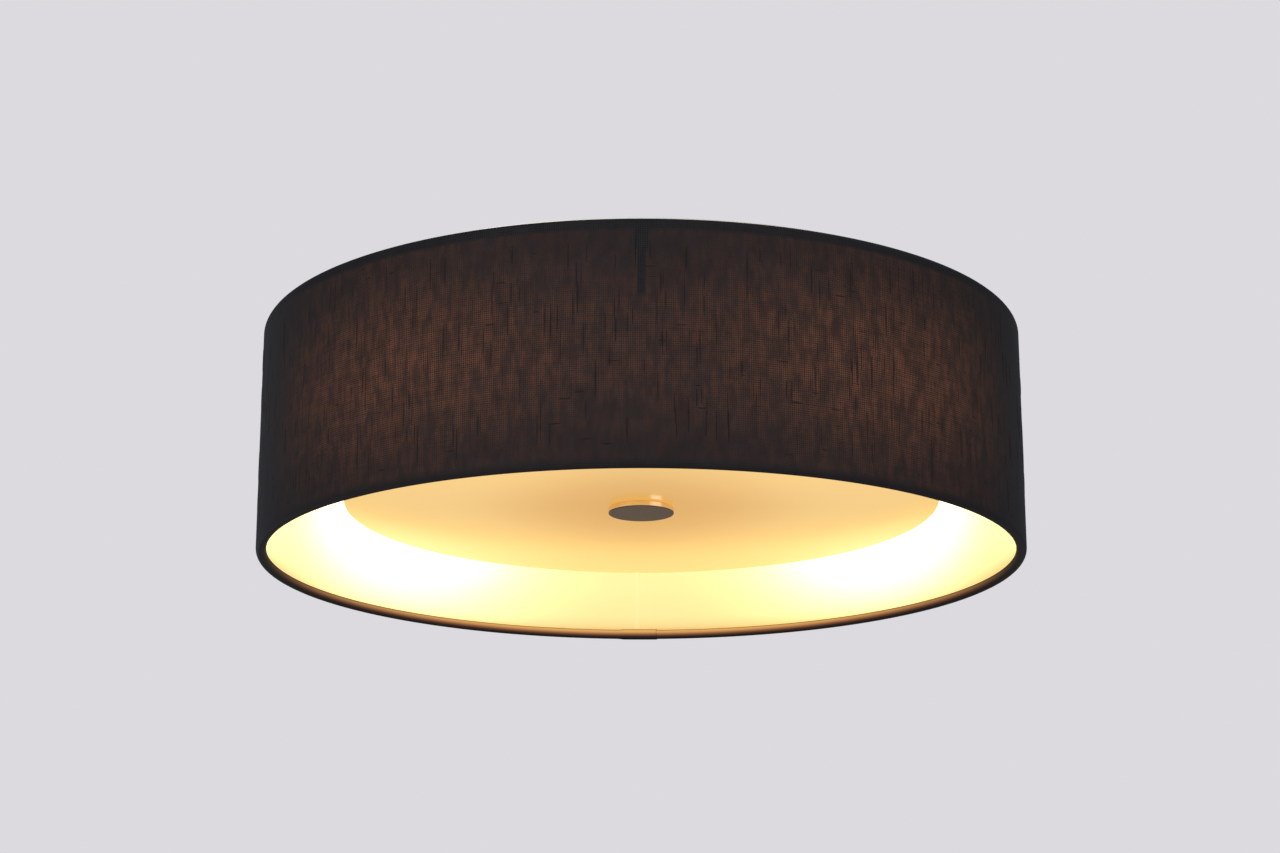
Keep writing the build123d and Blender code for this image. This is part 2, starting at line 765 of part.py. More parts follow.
def bulb_leads(name):
    """The four leads of one pole, each through its grommet to its own lampholder.

    Live leads run above the neutral ones on the pan, so that they can cross them."""
    order = [135, 225, 315, 45]
    level = lead_levels[name]
    solids = []
    for angle in bulb_angles:
        place = order.index(angle) - (len(order) - 1) / 2
        start_x = pole_xs[name] + place * lead_pitch
        right = 1 if math.cos(math.radians(angle)) > 0 else -1
        side = right * (1 if name == "neutral" else -1)
        outward = Vector(*round_place(1, angle), 0)
        across = Vector(*round_place(1, angle + 90), 0) * side
        through = outward * grommet_r + across * (lead_pitch / 2)
        points = [
            (start_x, block_front + lead_in_block, level),
            (start_x, block_front - lead_straight, level),
        ]
        if angle > 180:
            points += [(right * lead_lane_x, rod_washer_d / 2 + lead_lane_end, level)]
            points += [(right * lead_lane_x, -rod_washer_d / 2, level)]
        points += [(through.X, through.Y, level), (through.X, through.Y, pan_under - lead_drop)]
        entry_z = bulb_axis_z + lead_above_axis
        beside = outward * (holder_back_r - lead_entry_room) + across * lead_side
        inside = outward * (holder_back_r + lead_in_holder) + across * lead_side
        points += [(beside.X, beside.Y, entry_z + lead_entry_rise), (beside.X, beside.Y, entry_z)]
        points += [(inside.X, inside.Y, entry_z)]
        solids.append(round_lead(points))
    return group(solids)


def earth_lead():
    """The short lead from the block to the earth tag."""
    x, level = pole_xs["earth"], lead_levels["earth"]
    turn_y = block_front - earth_turn
    tag_end = earth_y - tag_d
    points = [(x, block_front + lead_in_block, level), (x, turn_y, level)]
    points += [(earth_x, turn_y, level), (earth_x, tag_end, level)]
    return round_lead(points)


def earth_tag():
    """The ring tag on the pan, with its crimped barrel towards the lead."""
    level = lead_levels["earth"]
    ring = pipe_piece(tag_d, m4_d + 2 * hole_play, pan_floor, pan_floor + tag_t, earth_x, earth_y)
    neck_y = earth_y - tag_d / 2
    neck = Pos(earth_x, neck_y, pan_floor) * Box(tag_neck_w, tag_d / 4, tag_t, align=LOW)
    height = level + lead_d / 2 + hole_play - pan_floor
    barrel_w = lead_d + 2 * tag_barrel_wall
    barrel = Pos(earth_x, earth_y - tag_d, pan_floor) * Box(barrel_w, tag_d - cut, height, align=LOW)
    bore = Pos(earth_x, earth_y - tag_d, level) * Rot(90, 0, 0) * Cylinder(lead_d / 2 + fit, tag_d)
    return ring + neck + barrel - bore


def earth_screw():
    """The earth screw, head below the pan, and its nut on the tag."""
    seat = pan_floor + tag_t
    screw = rod_piece(m4_head_d, pan_under - m4_head_h, pan_under, earth_x, earth_y)
    screw += rod_piece(m4_d, pan_under, seat + m4_nut_h + thread_past_nut, earth_x, earth_y)
    return group([screw, hex_nut(m4_nut_flats, m4_nut_h, m4_d + 2 * fit, seat, earth_x, earth_y)])


def lead_grommets():
    """Rubber grommets in the pan's lead holes."""
    bore, waist, flange = grommet_bore_d / 2, grommet_hole_d / 2 - fit, grommet_flange_d / 2
    low, high = pan_under - grommet_flange_t, pan_floor + grommet_flange_t
    ring = turned_polygon(
        [
            (bore, low),
            (flange, low),
            (flange, pan_under),
            (waist, pan_under),
            (waist, pan_floor),
            (flange, pan_floor),
            (flange, high),
            (bore, high),
        ]
    )
    return group([Pos(*round_place(grommet_r, angle), 0) * ring for angle in bulb_angles])


# ---------------------------------------------------------------- all pieces, one file each
pieces = {
    "mounting_bar": mounting_bar(),
    "bar_studs": bar_studs(),
    "pan_nuts": pan_nuts(),
    "base_pan": base_pan(),
    "terminal_block": terminal_block(),
    "terminal_inserts": terminal_inserts(),
    "terminal_screws": terminal_screws(),
    "block_screws": block_screws(),
    "earth_tag": earth_tag(),
    "earth_screw": earth_screw(),
    "earth_lead": earth_lead(),
    "lead_grommets": lead_grommets(),
    "live_leads": bulb_leads("live"),
    "neutral_leads": bulb_leads("neutral"),
    "lampholder_contacts": lampholder_contacts(),
    "bracket_screws": bracket_screws(),
    "bracket_nuts": bracket_nuts(),
    "holder_screws": holder_screws(),
    "centre_rod": centre_rod(),
    "rod_nuts": rod_nuts(),
    "rod_washer": rod_washer(),
    "spacer_tube": spacer_tube(),
    "shade_fabric": shade_fabric(),
    "shade_liner": shade_liner(),
    "shade_ring_top": shade_ring(top_hem_z),
    "shade_ring_bottom": shade_ring(bottom_hem_z),
    "arm_studs": arm_studs(),
    "arm_nuts": arm_nuts(),
    "stop_washer": stop_washer(),
    "soft_washers": soft_washers(),
    "diffuser_disc": diffuser_disc(),
    "finial": finial(),
}
for name, angle in arm_angles.items():
    pieces[f"shade_arm_{name}"] = shade_arm(angle)
for number, angle in enumerate(bulb_angles, 1):
    pieces[f"lampholder_bracket_{number}"] = lampholder_bracket(angle)
    pieces[f"lampholder_{number}"] = lampholder(angle)
    pieces[f"lampholder_shell_{number}"] = lampholder_shell(angle)
    pieces[f"bulb_glass_{number}"] = bulb_glass(angle)
    pieces[f"bulb_cap_{number}"] = bulb_cap(angle)
    pieces[f"bulb_contact_{number}"] = bulb_contact(angle)

os.makedirs("parts", exist_ok=True)
for name, shape in pieces.items():
    export_step(shape, f"parts/{name}.step")
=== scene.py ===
# %% [markdown]
# A round drum light that is screwed flat to a ceiling. Its dark cloth shade glows from the four bulbs
# inside it, a round opal sheet hides them from below, and one cap nut holds that sheet. The metal, plastic
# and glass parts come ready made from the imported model. This script gives each of them its finish, and
# makes what is cut from sheet and laid by hand: the cloth, its rolled hems and the lining.

# %% Load the fixed frame
import math

import bpy
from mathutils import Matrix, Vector


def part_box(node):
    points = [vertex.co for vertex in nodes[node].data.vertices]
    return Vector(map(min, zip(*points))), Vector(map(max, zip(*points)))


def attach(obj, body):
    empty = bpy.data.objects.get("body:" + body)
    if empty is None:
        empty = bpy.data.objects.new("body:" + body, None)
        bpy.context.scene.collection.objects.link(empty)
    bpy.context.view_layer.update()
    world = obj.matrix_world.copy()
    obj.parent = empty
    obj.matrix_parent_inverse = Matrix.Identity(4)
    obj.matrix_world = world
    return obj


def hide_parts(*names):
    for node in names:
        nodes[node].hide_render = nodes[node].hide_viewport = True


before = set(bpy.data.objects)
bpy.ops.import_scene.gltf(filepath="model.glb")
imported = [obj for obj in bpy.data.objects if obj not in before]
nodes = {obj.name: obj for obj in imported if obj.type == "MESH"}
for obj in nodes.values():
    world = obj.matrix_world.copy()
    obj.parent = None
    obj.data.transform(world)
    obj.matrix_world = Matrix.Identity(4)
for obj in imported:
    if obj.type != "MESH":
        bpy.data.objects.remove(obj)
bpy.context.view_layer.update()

MM = 0.001

# %% [markdown]
# The pieces made here have to fit the rings, so every size is read from the model's own boxes. A hem is a
# roll round a wire ring, and its radius is how far the cloth's top edge stands above the wire's middle.

# %% Read the shade's sizes
cloth_low, cloth_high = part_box("shade_fabric")
ring_low, ring_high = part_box("shade_ring_top")
liner_low, liner_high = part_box("shade_liner")
shade_radius = cloth_high.x
shade_top, shade_bottom = cloth_high.z, cloth_low.z
hem_radius = shade_top - (ring_low.z + ring_high.z) / 2
hem_centre = shade_radius - hem_radius
liner_radius = liner_high.x
bulb_axis = sum(corner.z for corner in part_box("bulb_glass_1")) / 2
pan_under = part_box("base_pan")[0].z
arm_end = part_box("shade_arm_front")[0].z
cap_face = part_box("finial")[0].z
print(f"shade radius {shade_radius / MM:.1f} mm, hem radius {hem_radius / MM:.2f} mm")

# %% [markdown]
# A procedural finish is a chain of small nodes. It could be wired by hand for each material, but then most
# lines only name sockets. One helper adds a node, sets it up and links it, and gives back the output that
# the next node needs. Colours are written as they look on a screen, and one function turns them linear.

# %% A helper for nodes and one for colours
MATH = "ShaderNodeMath"


def colour(hex_code):
    """An sRGB hex colour as linear red, green, blue and alpha."""
    shares = [int(hex_code[i:i + 2], 16) / 255 for i in (0, 2, 4)]
    return [s / 12.92 if s <= 0.04045 else ((s + 0.055) / 1.055) ** 2.4 for s in shares] + [1.0]


def add(tree, kind, inputs=(), out=0, **settings):
    """Adds a node and returns one of its outputs.

    The inputs are listed in order or named, and each is a socket to link, a hex colour or a value."""
    made = tree.nodes.new(kind)
    for name, value in settings.items():
        setattr(made, name, value)
    for key, value in inputs.items() if isinstance(inputs, dict) else enumerate(inputs):
        if isinstance(value, bpy.types.NodeSocket):
            tree.links.new(value, made.inputs[key])
        else:
            made.inputs[key].default_value = colour(value) if isinstance(value, str) else value
    return made.outputs[out] if len(made.outputs) else made


def new_material(name, surface, relief=None, depth=0.1 * MM):
    """A material with the inputs that surface(tree) gives, and the height map relief(tree) of that depth."""
    material = bpy.data.materials.new(name)
    material.use_nodes = True
    tree = material.node_tree
    tree.nodes.clear()
    inputs = surface(tree)
    if relief:
        inputs["Normal"] = add(tree, "ShaderNodeBump", {"Height": relief(tree), "Distance": depth})
    shader = add(tree, "ShaderNodeBsdfPrincipled", inputs)
    add(tree, "ShaderNodeOutputMaterial", [shader])
    return material


def in_scene(thing):
    """Puts an object in the scene and gives it back."""
    bpy.context.scene.collection.objects.link(thing)
    return thing


print("helpers ready")

# %% [markdown]
# Few real surfaces are even. Most finishes here wander a little, in lumps of a real size: a colour between
# two others, a roughness between two values, or a low relief. They all come from one cloudy pattern, which
# reads the point on the piece in metres, so that it keeps its size on every part.

# %% Patterns of a real size
def point_on_piece(tree, scale=(1, 1, 1)):
    """The point on the piece, in metres times a scale."""
    point = add(tree, "ShaderNodeTexCoord", out="Object")
    return add(tree, "ShaderNodeMapping", {"Vector": point, "Scale": scale})


def axis_of(tree, axis):
    """One coordinate of the point on the piece."""
    return add(tree, "ShaderNodeSeparateXYZ", [point_on_piece(tree)], out=axis)


def lumps(tree, size, detail=3.0, stretch=(1, 1, 1)):
    """Cloudy variation whose lumps have that size, in metres."""
    point = point_on_piece(tree, [s / size for s in stretch])
    return add(tree, "ShaderNodeTexNoise", {"Vector": point, "Scale": 1.0, "Detail": detail})


def bumps(size, detail=3.0):
    """A relief of such lumps, for new_material."""
    return lambda tree: lumps(tree, size, detail)


def mottled(tree, size, low, high, detail=3.0):
    """A colour that wanders between two, in lumps of that size."""
    share = lumps(tree, size, detail)
    return add(tree, "ShaderNodeMix", {0: share, 6: low, 7: high}, out=2, data_type="RGBA")


def uneven(tree, size, low, high, detail=3.0, stretch=(1, 1, 1)):
    """A number that wanders between two, in lumps of that size."""
    return add(tree, "ShaderNodeMapRange", [lumps(tree, size, detail, stretch), 0.3, 0.7, low, high],
               interpolation_type="SMOOTHSTEP")


def fade_in_height(tree, start, end, at_start=0.0, at_end=1.0):
    """Goes smoothly from one number to another between two heights, and is level past them."""
    return add(tree, "ShaderNodeMapRange", [axis_of(tree, "Z"), start, end, at_start, at_end],
               interpolation_type="SMOOTHSTEP")


print("patterns ready")

# %% [markdown]
# The camera stands in front of the lamp and well below it. Its place could be guessed and nudged, but here
# it was worked out from the ellipses of the shade's two rims, which fix how far away and how far below the
# camera was. A long lens goes with that distance.

# %% Camera
def make_camera(focal_length, place, tilt):
    data = bpy.data.cameras.new("camera")
    data.lens = focal_length
    data.sensor_width = 36
    camera = in_scene(bpy.data.objects.new("camera", data))
    camera.location = place
    camera.rotation_euler = (math.radians(90 + tilt), 0, 0)
    bpy.context.scene.camera = camera
    return camera


camera = make_camera(76.74, (-0.0008, -1.7418, -0.5512), 15.75)
print("camera at", [round(c, 3) for c in camera.location])

# %% [markdown]
# A plain studio: a pale floor far below, a pale background that only the eye, glass and metal see, and
# three large soft lamps. Small lamps would throw hard shadows that hide the weave. The light is kept low
# enough for pale surfaces to keep their colour, because the shade's own glow comes on top of it.

# %% Studio
def make_world(seen, light, strength):
    """A background of one colour for the eye and for mirrors, and of another for what it lights."""
    world = bpy.data.worlds.new("studio")
    bpy.context.scene.world = world
    world.use_nodes = True
    tree = world.node_tree
    tree.nodes.clear()
    rays = tree.nodes.new("ShaderNodeLightPath").outputs
    looked_at = add(tree, MATH, [rays["Is Camera Ray"], rays["Is Glossy Ray"]], operation="MAXIMUM")
    looked_at = add(tree, MATH, [looked_at, rays["Is Transmission Ray"]], operation="MAXIMUM")
    view = add(tree, "ShaderNodeBackground", {"Color": seen, "Strength": 1.0})
    lit = add(tree, "ShaderNodeBackground", {"Color": light, "Strength": strength})
    add(tree, "ShaderNodeOutputWorld", [add(tree, "ShaderNodeMixShader", [looked_at, lit, view])])


def make_lamp(name, watts, size, place, target=(0, 0, -0.08)):
    """A round soft lamp that is turned to the middle of the shade."""
    data = bpy.data.lights.new(name, "AREA")
    data.shape = "DISK"
    data.size = size
    data.energy = watts
    lamp = in_scene(bpy.data.objects.new(name, data))
    lamp.location = place
    lamp.rotation_euler = (Vector(target) - Vector(place)).to_track_quat("-Z", "Y").to_euler()


def floor_surface(tree):
    return {"Base Color": mottled(tree, 0.4, "dcdad8", "e2e0de"), "Roughness": 0.8}


def make_floor(height, reach):
    mesh = bpy.data.meshes.new("floor")
    corners = [(x * reach, y * reach, height) for x, y in ((-1, -1), (1, -1), (1, 1), (-1, 1))]
    mesh.from_pydata(corners, [], [(0, 1, 2, 3)])
    mesh.materials.append(new_material("Pale matt floor", floor_surface))
    in_scene(bpy.data.objects.new("floor", mesh))


bpy.context.scene.view_settings.view_transform = "Standard"
make_world("dcdade", "ffffff", 0.45)
make_lamp("key", 34, 1.6, (-1.6, -2.2, 0.5))
make_lamp("fill", 16, 2.0, (2.2, -1.6, -0.6))
make_lamp("back", 16, 1.6, (0.4, 2.4, 0.9))
make_floor(-3.3, 60)
print("studio ready")

# %% [markdown]
# The light of the four bulbs falls on what surrounds them. Real lamps inside the glass would be slow to
# render and would be lost when the model is used elsewhere, so each surface carries its own glow. The bulbs
# stand at the corners of a square round the rod, so the glow is strongest on the two diagonals: with x and
# y as shares of the distance from the rod, 2xy is 1 or -1 there and 0 on the axes. A power makes the lobes
# as narrow as they look.

# %% The pattern of the four bulbs
def reach_of(tree):
    """Distance from the rod's axis."""
    level = point_on_piece(tree, (1, 1, 0))
    return add(tree, "ShaderNodeVectorMath", [level], out="Value", operation="LENGTH")


def four_lobes(tree, power):
    """1 towards each bulb and 0 halfway between two of them."""
    outward = add(tree, "ShaderNodeVectorMath", [point_on_piece(tree, (1, 1, 0))], operation="NORMALIZE")
    x, y = (add(tree, "ShaderNodeSeparateXYZ", [outward], out=axis) for axis in ("X", "Y"))
    half = add(tree, MATH, [x, y], operation="MULTIPLY")
    share = add(tree, MATH, [half, 2.0], operation="MULTIPLY")
    return add(tree, MATH, [add(tree, MATH, [share], operation="ABSOLUTE"), power], operation="POWER")


def at_height(tree, centre, width):
    """1 at a height, falling off above and below it, to 1/e at that width from it."""
    away = add(tree, MATH, [axis_of(tree, "Z"), 1 / width, -centre / width], operation="MULTIPLY_ADD")
    square = add(tree, MATH, [away, away], operation="MULTIPLY")
    return add(tree, MATH, [1 / math.e, square], operation="POWER")


print("glow pattern ready")

# %% [markdown]
# The cloth is a slubby plain weave: yarns of uneven thickness that cross over and under each other, with
# short thick places, the slubs. It could be a picture, but a formula keeps its scale. The threads are 1.3
# mm apart, which is read from the weave's grid. The height is the higher of two sets of round yarns that
# swap at each crossing, and stretched noise makes some yarns thick and some thin.

# %% The weave
THREAD = 1.3 * MM
SLUB_LONG, SLUB_SHORT = 26 * MM, 18 * MM     # thick places in the upright and in the lying yarns
THICK_SEED_UP, THICK_SEED_ROUND = 3.1, 7.7   # two places far apart in the noise, so that the sets differ


def cloth_point(tree):
    """Length round the shade and height over it, in metres, from the cloth's own map."""
    place = add(tree, "ShaderNodeUVMap", uv_map="cloth")
    return [add(tree, "ShaderNodeSeparateXYZ", [place], out=axis) for axis in ("X", "Y")]


def yarn(tree, across, along, other, slub_length, seed):
    """Height of one set of yarns, 0 to 1, and how thick each is just there."""
    width_share = add(tree, MATH, [across, THREAD * 1.6], operation="DIVIDE")
    length_share = add(tree, MATH, [along, slub_length], operation="DIVIDE")
    place = add(tree, "ShaderNodeCombineXYZ", [width_share, length_share, seed])
    cloudy = add(tree, "ShaderNodeTexNoise", {"Vector": place, "Scale": 1.0, "Detail": 2.0})
    thick = add(tree, "ShaderNodeMapRange", [cloudy, 0.3, 0.72], interpolation_type="SMOOTHSTEP")
    roundness = add(tree, "ShaderNodeMapRange", [thick, 0.0, 1.0, 1.3, 0.35], interpolation_type="SMOOTHSTEP")
    turn = add(tree, MATH, [across, math.pi / THREAD], operation="MULTIPLY")
    swing = add(tree, MATH, [turn], operation="SINE")
    crown = add(tree, MATH, [add(tree, MATH, [swing], operation="ABSOLUTE"), roundness], operation="POWER")
    other_turn = add(tree, MATH, [other, math.pi / THREAD], operation="MULTIPLY")
    wave = add(tree, MATH, [other_turn], operation="SINE")
    side = add(tree, MATH, [swing], operation="SIGN")
    up_and_down = add(tree, MATH, [wave, side], operation="MULTIPLY")
    over = add(tree, MATH, [up_and_down, 0.28, 0.72], operation="MULTIPLY_ADD")
    return add(tree, MATH, [crown, over], operation="MULTIPLY"), thick


def weave(tree):
    """The cloth's height, its open share and its slub share."""
    u, v = cloth_point(tree)
    next_u = add(tree, MATH, [u, THREAD], operation="ADD")
    warp, warp_thick = yarn(tree, u, v, v, SLUB_LONG, THICK_SEED_UP)
    weft, weft_thick = yarn(tree, v, u, next_u, SLUB_SHORT, THICK_SEED_ROUND)
    height = add(tree, MATH, [warp, weft], operation="MAXIMUM")
    open_share = add(tree, "ShaderNodeMapRange", [height, 0.5, 0.9, 1.0, 0.0],
                     interpolation_type="SMOOTHSTEP")
    weaker = add(tree, MATH, [weft_thick, 0.8], operation="MULTIPLY")
    return height, open_share, add(tree, MATH, [warp_thick, weaker], operation="MAXIMUM")


print(f"weave of {THREAD / MM:.1f} mm threads ready")

# %% [markdown]
# Three things shape the light on the cloth's outside. The bulbs' lobes fade above and below and end at the
# hems, where the rings lie. The leg of each arm stands between a bulb and the cloth and throws a dark
# stroke. And the inner half of the bottom hem looks into the lit shade, so it is bright as a fine warm
# line.

# %% Light on the cloth
GLOW_DROP = 12 * MM      # the glow's middle below the bulbs' axis
GLOW_WIDTH = 58 * MM
GLOW_LEAST = 0.34        # share that is left far from the bulbs' height
LEG_SHADOW, BEND_SHADOW = 2.0 * MM, 3.9 * MM     # half widths of an arm's shadow


def cloth_glow(tree):
    """How much of the bulbs' light reaches the cloth."""
    lobes = add(tree, MATH, [four_lobes(tree, 2.0), 0.62, 0.38], operation="MULTIPLY_ADD")
    bulbs = at_height(tree, bulb_axis - GLOW_DROP, GLOW_WIDTH)
    bulbs = add(tree, MATH, [bulbs, GLOW_LEAST], operation="MAXIMUM")
    level = add(tree, MATH, [lobes, bulbs], operation="MULTIPLY")
    hem_end = shade_top - 2 * hem_radius
    top = fade_in_height(tree, hem_end + 1 * MM, hem_end - 2 * MM)
    bottom = fade_in_height(tree, shade_bottom + 0.3 * hem_radius, shade_bottom + 2.2 * hem_radius, 0.1, 1.0)
    ends = add(tree, MATH, [top, bottom], operation="MULTIPLY")
    return add(tree, MATH, [level, ends], operation="MULTIPLY")


def arm_shadow(tree):
    """1 in the clear and nearly 0 behind an arm's leg."""
    x, y = (add(tree, MATH, [axis_of(tree, axis)], operation="ABSOLUTE") for axis in ("X", "Y"))
    across = add(tree, MATH, [x, y], operation="MINIMUM")
    half = fade_in_height(tree, pan_under - 7 * MM, pan_under - 3 * MM, LEG_SHADOW, BEND_SHADOW)
    past = add(tree, MATH, [across, half], operation="SUBTRACT")
    beside = add(tree, "ShaderNodeMapRange", [past, -0.3 * MM, 0.9 * MM], interpolation_type="SMOOTHSTEP")
    below = fade_in_height(tree, arm_end - 3 * MM, arm_end + 2 * MM, 1.0, 0.0)
    return add(tree, MATH, [beside, below], operation="MAXIMUM")


def hem_light(tree):
    """The light that falls from inside on the inner half of the bottom hem."""
    inside = add(tree, "ShaderNodeMapRange", [reach_of(tree), hem_centre + 0.9 * hem_radius,
                                              hem_centre - 0.2 * hem_radius], interpolation_type="SMOOTHSTEP")
    low = fade_in_height(tree, shade_bottom, shade_bottom + 2.2 * hem_radius)
    hem_only = fade_in_height(tree, shade_bottom + 3 * hem_radius, shade_bottom + 2.5 * hem_radius)
    rising = add(tree, MATH, [low, 1.5], operation="POWER")
    on_hem = add(tree, MATH, [rising, hem_only], operation="MULTIPLY")
    return add(tree, MATH, [inside, on_hem], operation="MULTIPLY")


print("light on the cloth ready")

# %% [markdown]
# Light gets through at the gaps between four crossings, so the glow is strongest there and the yarns stay
# dark. The dye also swallows light, and the more of it the longer the way through. Principled has a coat
# for such a layer: with an index of 1 it doesn't shine and only absorbs, so the glow dies away towards the
# drum's sides, and there the pale fuzz of the yarns, which is its sheen, is all that shows.

# %% Cloth finish: linen blend, plain woven and dyed charcoal, which looks matt, fuzzy and warm where lit
CLOTH_LIGHT = 0.118
HEM_LIGHT = 3.2


def cloth_surface(tree):
    height, open_share, slub = weave(tree)
    faded = mottled(tree, 14 * MM, "3a383b", "4a474b")
    hem = hem_light(tree)
    glow = add(tree, MATH, [cloth_glow(tree), arm_shadow(tree)], operation="MULTIPLY")
    solid = add(tree, MATH, [slub, -0.3, 0.2], operation="MULTIPLY_ADD")
    through = add(tree, MATH, [open_share, 2.5, solid], operation="MULTIPLY_ADD")
    patches = uneven(tree, 5 * MM, 0.55, 1.45, 6.0, (1, 1, 0.4))
    shown = add(tree, MATH, [through, patches], operation="MULTIPLY")
    wall = add(tree, MATH, [glow, shown], operation="MULTIPLY")
    wall = add(tree, MATH, [wall, CLOTH_LIGHT], operation="MULTIPLY")
    # Painted shade: the gaps between the yarns and their low sides get the near-black 1a191b, and the crowns
    # keep the dyed colour.
    yarns = add(tree, "ShaderNodeMix", {0: height, 6: "1a191b", 7: faded}, out=2, data_type="RGBA")
    light = add(tree, "ShaderNodeMix", {0: hem, 6: "ffa06c", 7: "ffcb68"}, out=2, data_type="RGBA")
    return {"Base Color": yarns, "Roughness": 0.95, "Specular IOR Level": 0.1,
            "Sheen Weight": 0.16, "Sheen Roughness": 0.5, "Sheen Tint": "c9ccd8",
            "Coat Weight": 1.0, "Coat IOR": 1.0, "Coat Roughness": 1.0, "Coat Tint": "b3b3b3",
            "Emission Color": light,
            "Emission Strength": add(tree, MATH, [hem, HEM_LIGHT, wall], operation="MULTIPLY_ADD")}


cloth_material = new_material("Charcoal slub cloth", cloth_surface, lambda tree: weave(tree)[0], 0.25 * MM)
print("cloth finish ready")

# %% [markdown]
# The cloth itself is one long strip. It is glued round the lining with its end lapped over its start at the
# back, and both edges are rolled inwards round the wire rings. A plain tube could stand for it, but then
# the hems would have no roll and the lap no step. Here the strip is swept: a cross-section of two arcs and
# a wall is laid down column by column, and it steps out by one thickness where it passes over its own
# start.

# %% A strip that is wound once round the shade
STEP_LENGTH = 4 * MM     # how much strip the step onto its own start takes


def wound_strip(name, section, start_angle, lap, step, columns, thickness, slits=()):
    """A thin strip round the Z axis, clockwise from above.

    section lists (radius, height) on its middle, and slits (angle, half width, first row, last row).
    The strip's map is in metres."""
    radius = max(r for r, _ in section)
    total = 2 * math.pi + lap / radius
    slit_edges = {(start_angle - math.radians(angle) + side * half / radius) % (2 * math.pi)
                  for angle, half, _, _ in slits for side in (-1, 1)}
    turns = sorted({i * total / columns for i in range(columns + 1)} | slit_edges)
    lengths = [0.0]
    for (r0, z0), (r1, z1) in zip(section, section[1:]):
        lengths.append(lengths[-1] + math.hypot(r1 - r0, z1 - z0))

    vertices, map_points = [], []
    ramp = STEP_LENGTH / radius
    for turn in turns:
        share = min(max((turn - (2 * math.pi - ramp)) / ramp, 0.0), 1.0)
        lift = step * share * share * (3 - 2 * share)
        angle = start_angle - turn
        for i, (r, z) in enumerate(section):
            before, after = section[max(i - 1, 0)], section[min(i + 1, len(section) - 1)]
            along = Vector((after[0] - before[0], after[1] - before[1])).normalized()
            out_r, out_z = r - along.y * lift, z + along.x * lift
            vertices.append((out_r * math.cos(angle), out_r * math.sin(angle), out_z))
            map_points.append((turn * radius, lengths[i]))

    def in_slit(turn, row):
        """Whether a face is cut away."""
        for angle, half, first, last in slits:
            away = (start_angle - math.radians(angle) - turn + math.pi) % (2 * math.pi) - math.pi
            if first <= row < last and abs(away) < half / radius:
                return True
        return False

    rows = len(section)
    faces = []
    for column, (turn, next_turn) in enumerate(zip(turns, turns[1:])):
        for row in range(rows - 1):
            if not in_slit((turn + next_turn) / 2, row):
                near, far = column * rows + row, (column + 1) * rows + row
                faces.append((near, far, far + 1, near + 1))
    mesh = bpy.data.meshes.new(name)
    mesh.from_pydata(vertices, [], faces)
    layer = mesh.uv_layers.new(name="cloth")
    for loop in mesh.loops:
        layer.data[loop.index].uv = map_points[loop.vertex_index]
    piece = in_scene(bpy.data.objects.new(name, mesh))
    wall = piece.modifiers.new("thickness", "SOLIDIFY")
    wall.thickness, wall.offset, wall.use_even_offset = thickness, 0.0, False
    return apply_modifiers(piece)


def apply_modifiers(piece):
    """Turns what the modifiers make into the piece's own mesh, shaded smooth."""
    evaluated = piece.evaluated_get(bpy.context.evaluated_depsgraph_get())
    mesh = bpy.data.meshes.new_from_object(evaluated)
    piece.modifiers.clear()
    piece.data = mesh
    mesh.polygons.foreach_set("use_smooth", [True] * len(mesh.polygons))
    return piece


print("strip ready")

# %% [markdown]
# The cross-section runs from the top hem's hidden edge round the wire, down the wall and round the lower
# wire. Four short slits in the top hem let the arms through, as a maker snips the cloth there before gluing
# it down.

# %% Wind the cloth
CLOTH_T = 0.42 * MM
HEM_WRAP = 308           # degrees of cloth round each wire
HEM_STEPS = 22
WALL_STEPS = 12
COLUMNS = 640
LAP = 25 * MM
LAP_START = 93.0         # degrees, where the strip's hidden first edge lies at the back
HALF_SLIT = 4.25 * MM
SLIT_ROWS = (0, 4)       # the cross-section's first rows, inside the top hem


def arc(centre, radius, first, last, count):
    """Points (radius, height) of an arc in a cross-section, angles in degrees."""
    steps = [math.radians(first + (last - first) * i / count) for i in range(count + 1)]
    return [(centre[0] + radius * math.cos(a), centre[1] + radius * math.sin(a)) for a in steps]


roll = hem_radius - CLOTH_T / 2
top_hem = arc((hem_centre, shade_top - hem_radius), roll, HEM_WRAP, 0, HEM_STEPS)
bottom_hem = arc((hem_centre, shade_bottom + hem_radius), roll, 0, -HEM_WRAP, HEM_STEPS)
wall_height = shade_top - shade_bottom - 2 * hem_radius
wall_line = [(shade_radius - CLOTH_T / 2, shade_top - hem_radius - wall_height * i / WALL_STEPS)
             for i in range(1, WALL_STEPS)]
section = top_hem + wall_line + bottom_hem
slits = [(angle, HALF_SLIT, *SLIT_ROWS) for angle in (0, 90, 180, 270)]
cloth = wound_strip("shade_cloth", section, math.radians(LAP_START), LAP, CLOTH_T, COLUMNS, CLOTH_T, slits)
cloth.data.materials.append(cloth_material)
cloth_height = sum(math.dist(a, b) for a, b in zip(section, section[1:]))
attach(cloth, "fixture")
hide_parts("shade_fabric")

# %% [markdown]
# Thick places in the yarns stand proud of the weave. They could be painted, but they catch the light at the
# shade's edge, so they are thin spindles laid on the cloth. Hundreds of them would be slow to place by
# hand: a Geometry Nodes tree throws seeded random points on the drum's wall and puts one spindle on each,
# most of them upright.

